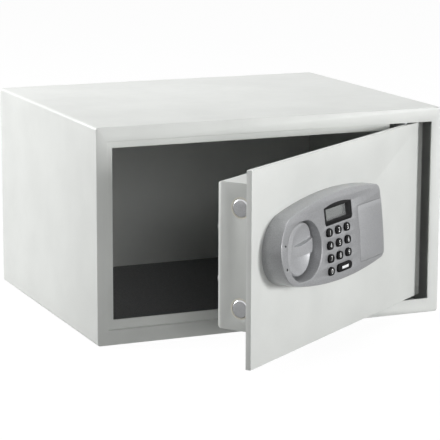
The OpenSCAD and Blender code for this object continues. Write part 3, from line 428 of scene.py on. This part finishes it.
def stand_for(piece, node, body, material):
    """Puts a finished copy in its solid's place: same body, its own finish."""
    take(piece)
    bpy.ops.object.shade_smooth_by_angle(angle=math.radians(30))
    piece.data.materials.clear()
    piece.data.materials.append(material)
    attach(piece, body)
    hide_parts(node)


# Sheets, plates, bolts and small mouldings whose edges are all eased by one radius

EASED_NODES = (
    ("body_shell", "case", "body_paint", BODY_PAINT, 0.5, 2),
    ("stop_frame", "case", "body_paint", BODY_PAINT, 0.3, 2),
    ("strike_plate", "case", "zinc_steel", ZINC_STEEL, 0.3, 2),
    ("hinge_brackets", "case", "hinge_steel", HINGE_STEEL, 0.3, 2),
    ("door_plate", "door", "body_paint", BODY_PAINT, 0.6, 3),
    ("hinge_blocks", "door", "hinge_steel", HINGE_STEEL, 0.4, 2),
    ("bolt_box", "door", "box_paint", BOX_PAINT, 0.3, 2),
    ("locking_bolts", "bolts", "bright_steel", BRIGHT_STEEL, 0.4, 3),
    ("display_bezel", "door", "black_plastic", BEZEL_BLACK, 0.5, 3),
    ("battery_cover", "cell_cover", "black_plastic", BLACK_PLASTIC, 0.3, 2),
)
for node, body, slot, material, radius, segments in EASED_NODES:
    piece = welded_copy(node)
    ease_all(piece, radius, segments)
    stand_for(piece, node, body, material)


# The moulded housing: a rim rounded by 3 mm, a softened recess, and crisp wells

HOUSING = welded_copy("lock_housing")
CORNERS = [vertex.co.copy() for vertex in HOUSING.data.vertices]


def on_rim(one, other, middle):
    """Whether an edge lies where the leaning face meets the housing's outer wall."""
    face, wall = (one, other) if one.dot(DOOR_OUT) > other.dot(DOOR_OUT) else (other, one)
    if face.dot(DOOR_OUT) < ALONG_LINE or abs(wall.dot(DOOR_OUT)) > ACROSS_LINE:
        return False
    reach = max(wall.dot(corner) for corner in CORNERS)
    return wall.dot(middle) > reach - EDGE_REACH * MM


def on_recess(one, other, middle):
    """Whether an edge lies where the leaning face meets the wall of the knob's recess."""
    if max(one.dot(DOOR_OUT), other.dot(DOOR_OUT)) < ALONG_LINE:
        return False
    away = middle - on_door(KNOB_X, 0, LOCK_Z)
    if away.dot(DOOR_OUT) < RECESS_EDGE_OUT * MM:
        return False
    along = away.dot(DOOR_ALONG)
    nearest = min(max(along, -RECESS_MOUTH_W * MM), 0)
    flat = math.hypot(along - nearest, away.z)
    return abs(flat - RECESS_R * MM) < RECESS_REACH * MM


bevel_edges(HOUSING, RIM_ROUND, 6, on_rim)
bevel_edges(HOUSING, RECESS_ROUND, 3, on_recess)
ease_all(HOUSING, 0.25, 2, 40)
stand_for(HOUSING, "lock_housing", "door", HOUSING_SILVER)

# The sliding cover: its end wall follows the housing's round rim

COVER = welded_copy("key_cover")


def on_cover_end(one, other, middle):
    """Whether an edge lies where the cover's face meets its outer end wall."""
    face, wall = (one, other) if one.dot(DOOR_OUT) > other.dot(DOOR_OUT) else (other, one)
    end = on_door(HOUSING_END_X, 0, LOCK_Z)
    if face.dot(DOOR_OUT) < ALONG_LINE or wall.dot(DOOR_ALONG) < ALONG_LINE:
        return False
    return abs((middle - end).dot(DOOR_ALONG)) < EDGE_REACH * MM


bevel_edges(COVER, RIM_ROUND, 6, on_cover_end)
ease_all(COVER, 0.3, 2, 40)
stand_for(COVER, "key_cover", "lock_cover", COVER_SILVER)

# The turning knob: two finger scoops with the grip bar between them, and a rounded rim

KNOB = welded_copy("knob")
ease_all(KNOB, KNOB_ROUND, 3, 35)
stand_for(KNOB, "knob", "turning_knob", KNOB_SILVER)


# Keys with rounded caps and printed digits


def printed(mark, name, x, z, material, body):
    """Turns a mark that lies on the ground to the cap at x and z, and prints it there."""
    lean = math.asin((z - FACE_Z) / FACE_R)
    take(mark)
    if mark.type == "FONT":
        bpy.ops.object.convert(target="MESH")
        mark = bpy.context.active_object
    mark.name = name
    turn = Matrix.Rotation(math.pi / 2 - lean, 4, "X")
    out = face_out(z) + KEY_PROUD + INK_LIFT
    place = Matrix.Translation((x * MM, (DOOR_FRONT - out) * MM, z * MM))
    mark.matrix_world = SWING @ place @ turn
    bpy.ops.object.transform_apply(location=True, rotation=True, scale=True)
    dress(mark, material)
    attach(mark, body)


KEYS = {
    "1": (0, 0),
    "2": (1, 0),
    "3": (2, 0),
    "4": (0, 1),
    "5": (1, 1),
    "6": (2, 1),
    "7": (0, 2),
    "8": (1, 2),
    "9": (2, 2),
    "0": (0, 3),
    "lock": (1.5, 3),
}
for label, (column, row) in KEYS.items():
    cap = welded_copy("key_" + label)
    ease_all(cap, KEY_ROUND, 3, 35)
    body = "key_" + label + "_cap"
    stand_for(cap, "key_" + label, body, KEY_RUBBER)
    x = KEY_X0 + column * KEY_PITCH_X
    z = KEY_Z0 - row * KEY_PITCH_Z
    if label == "lock":
        bpy.ops.mesh.primitive_plane_add(size=1)
        mark = bpy.context.active_object
        mark.scale = (LOCK_BAR_W * MM, LOCK_BAR_H * MM, 1)
        bpy.ops.object.transform_apply(location=False, rotation=False, scale=True)
        printed(mark, "key_lock_bar", x, z, DIGIT_INK, body)
    else:
        bpy.ops.object.text_add()
        mark = bpy.context.active_object
        mark.data.body = label
        mark.data.size = DIGIT_H * MM
        mark.data.align_x = "CENTER"
        mark.data.align_y = "CENTER"
        mark.data.extrude = INK_LIFT * MM
        printed(mark, "key_" + label + "_digit", x, z, DIGIT_INK, body)


# The plunger's spring: a round wire wound in a helix

low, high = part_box("plunger_spring")
middle = (low + high) / 2
wire_r = SPRING_WIRE_R * MM
coil_r = (high.x - low.x) / 2 * 0.8
turns = 8
steps = turns * 24
bpy.ops.mesh.primitive_circle_add(vertices=8, radius=wire_r, rotation=(math.pi / 2, 0, 0))
SPRING = bpy.context.active_object
SPRING.name = "plunger_spring_wire"
bpy.ops.object.transform_apply(location=False, rotation=True, scale=False)
bpy.ops.object.mode_set(mode="EDIT")
bpy.ops.mesh.select_all(action="SELECT")
bpy.ops.transform.translate(value=(coil_r, 0, 0))
bpy.ops.mesh.edge_face_add()
bpy.ops.object.mode_set(mode="OBJECT")
winding = SPRING.modifiers.new("winding", "SCREW")
winding.axis = "Z"
winding.angle = turns * 2 * math.pi
winding.screw_offset = (high.z - low.z) - 4 * wire_r
winding.steps = steps
winding.render_steps = steps
bpy.ops.object.modifier_apply(modifier=winding.name)
SPRING.matrix_world = Matrix.Translation((middle.x, middle.y, low.z + 2 * wire_r))
bpy.ops.object.transform_apply(location=True, rotation=False, scale=False)
bpy.ops.object.mode_set(mode="EDIT")
bpy.ops.mesh.select_all(action="SELECT")
bpy.ops.mesh.remove_doubles(threshold=1e-6)
bpy.ops.mesh.normals_make_consistent(inside=False)
bpy.ops.object.mode_set(mode="OBJECT")
bpy.ops.object.shade_smooth_by_angle(angle=math.radians(40))
dress(SPRING, BRIGHT_STEEL)
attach(SPRING, "door")
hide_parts("plunger_spring")


# Camera of the photograph

CAMERA_PLACE = (-0.757527, -1.765450, 0.466078)
LENS_MM = 161.09
YAW = math.radians(23.40223)
DOWN = math.radians(11.45595)
ROLL = math.radians(0.21543)
right = Vector((math.cos(YAW), -math.sin(YAW), 0))
ahead = Vector((math.sin(YAW) * math.cos(DOWN), math.cos(YAW) * math.cos(DOWN), -math.sin(DOWN)))
up = right.cross(ahead)
side = math.cos(ROLL) * right + math.sin(ROLL) * up
top = math.cos(ROLL) * up - math.sin(ROLL) * right
bpy.ops.object.camera_add()
CAMERA = bpy.context.active_object
CAMERA.data.sensor_width = 36
CAMERA.data.lens = LENS_MM
CAMERA.data.clip_start = 0.1
CAMERA.data.clip_end = 20
turned = Matrix((side, top, -ahead)).transposed().to_4x4()
CAMERA.matrix_world = Matrix.Translation(CAMERA_PLACE) @ turned
bpy.context.scene.camera = CAMERA
bpy.context.scene.view_settings.view_transform = "Standard"


# Studio: white room, white floor that keeps the shadow, soft lamps

LAMP_AIM = Vector((-0.02, -0.12, 0.1))
ROOM_FILL = 0.1
FLOOR_GLOW = 1.15
FLOOR_GLOW_SHARE = 0.84


def soft_lamp(name, place, size, watts):
    """A square soft box at a place, turned to the safe's open front."""
    bpy.ops.object.light_add(type="AREA", location=place)
    lamp = bpy.context.active_object
    lamp.name = name
    lamp.data.shape = "SQUARE"
    lamp.data.size = size
    lamp.data.energy = watts
    aim = LAMP_AIM - Vector(place)
    lamp.rotation_euler = aim.to_track_quat("-Z", "Y").to_euler()


soft_lamp("key_lamp", (1.7, -1.7, 0.34), 0.5, 33)
soft_lamp("left_lamp", (-1.8, 1.2, 0.9), 1.1, 52)
soft_lamp("top_lamp", (0.1, 0.1, 2.2), 0.7, 19)
soft_lamp("front_lamp", (-0.5, -2.2, 0.6), 0.7, 8)

# The room is white to the camera, in glossy faces and through glass, and lights the rest faintly
room = bpy.data.worlds.new("white_room")
room.use_nodes = True
bpy.context.scene.world = room
tree = room.node_tree
tree.nodes["Background"].inputs["Color"].default_value = linear("FFFFFF")
path = add(tree, "ShaderNodeLightPath", {}, {})
seen = add(
    tree,
    "ShaderNodeMath",
    {"operation": "MAXIMUM"},
    {0: (path, "Is Camera Ray"), 1: (path, "Is Glossy Ray")},
)
seen_through = add(
    tree,
    "ShaderNodeMath",
    {"operation": "MAXIMUM"},
    {0: (seen, "Value"), 1: (path, "Is Transmission Ray")},
)
level = add(
    tree,
    "ShaderNodeMapRange",
    {"To Min": ROOM_FILL, "To Max": 1.0},
    {"Value": (seen_through, "Value")},
)
tree.links.new(level.outputs["Result"], tree.nodes["Background"].inputs["Strength"])

# The floor glows white to the camera, and its diffuse share keeps the safe's shadow
bpy.ops.mesh.primitive_plane_add(size=8, location=(0, 0, -0.0002))
FLOOR = bpy.context.active_object
FLOOR.name = "studio_floor"
paper = bpy.data.materials.new("white_paper_floor")
paper.use_nodes = True
tree = paper.node_tree
tree.nodes.clear()
lit = add(tree, "ShaderNodeBsdfDiffuse", {"Color": linear("A8A8A8")}, {})
glow = add(tree, "ShaderNodeEmission", {"Color": linear("FFFFFF"), "Strength": FLOOR_GLOW}, {})
path = add(tree, "ShaderNodeLightPath", {}, {})
share = add(
    tree,
    "ShaderNodeMapRange",
    {"To Min": 0.0, "To Max": FLOOR_GLOW_SHARE},
    {"Value": (path, "Is Camera Ray")},
)
mixed = add(
    tree,
    "ShaderNodeMixShader",
    {},
    {0: (share, "Result"), 1: (lit, "BSDF"), 2: (glow, "Emission")},
)
add(tree, "ShaderNodeOutputMaterial", {}, {"Surface": (mixed, "Shader")})
dress(FLOOR, paper)
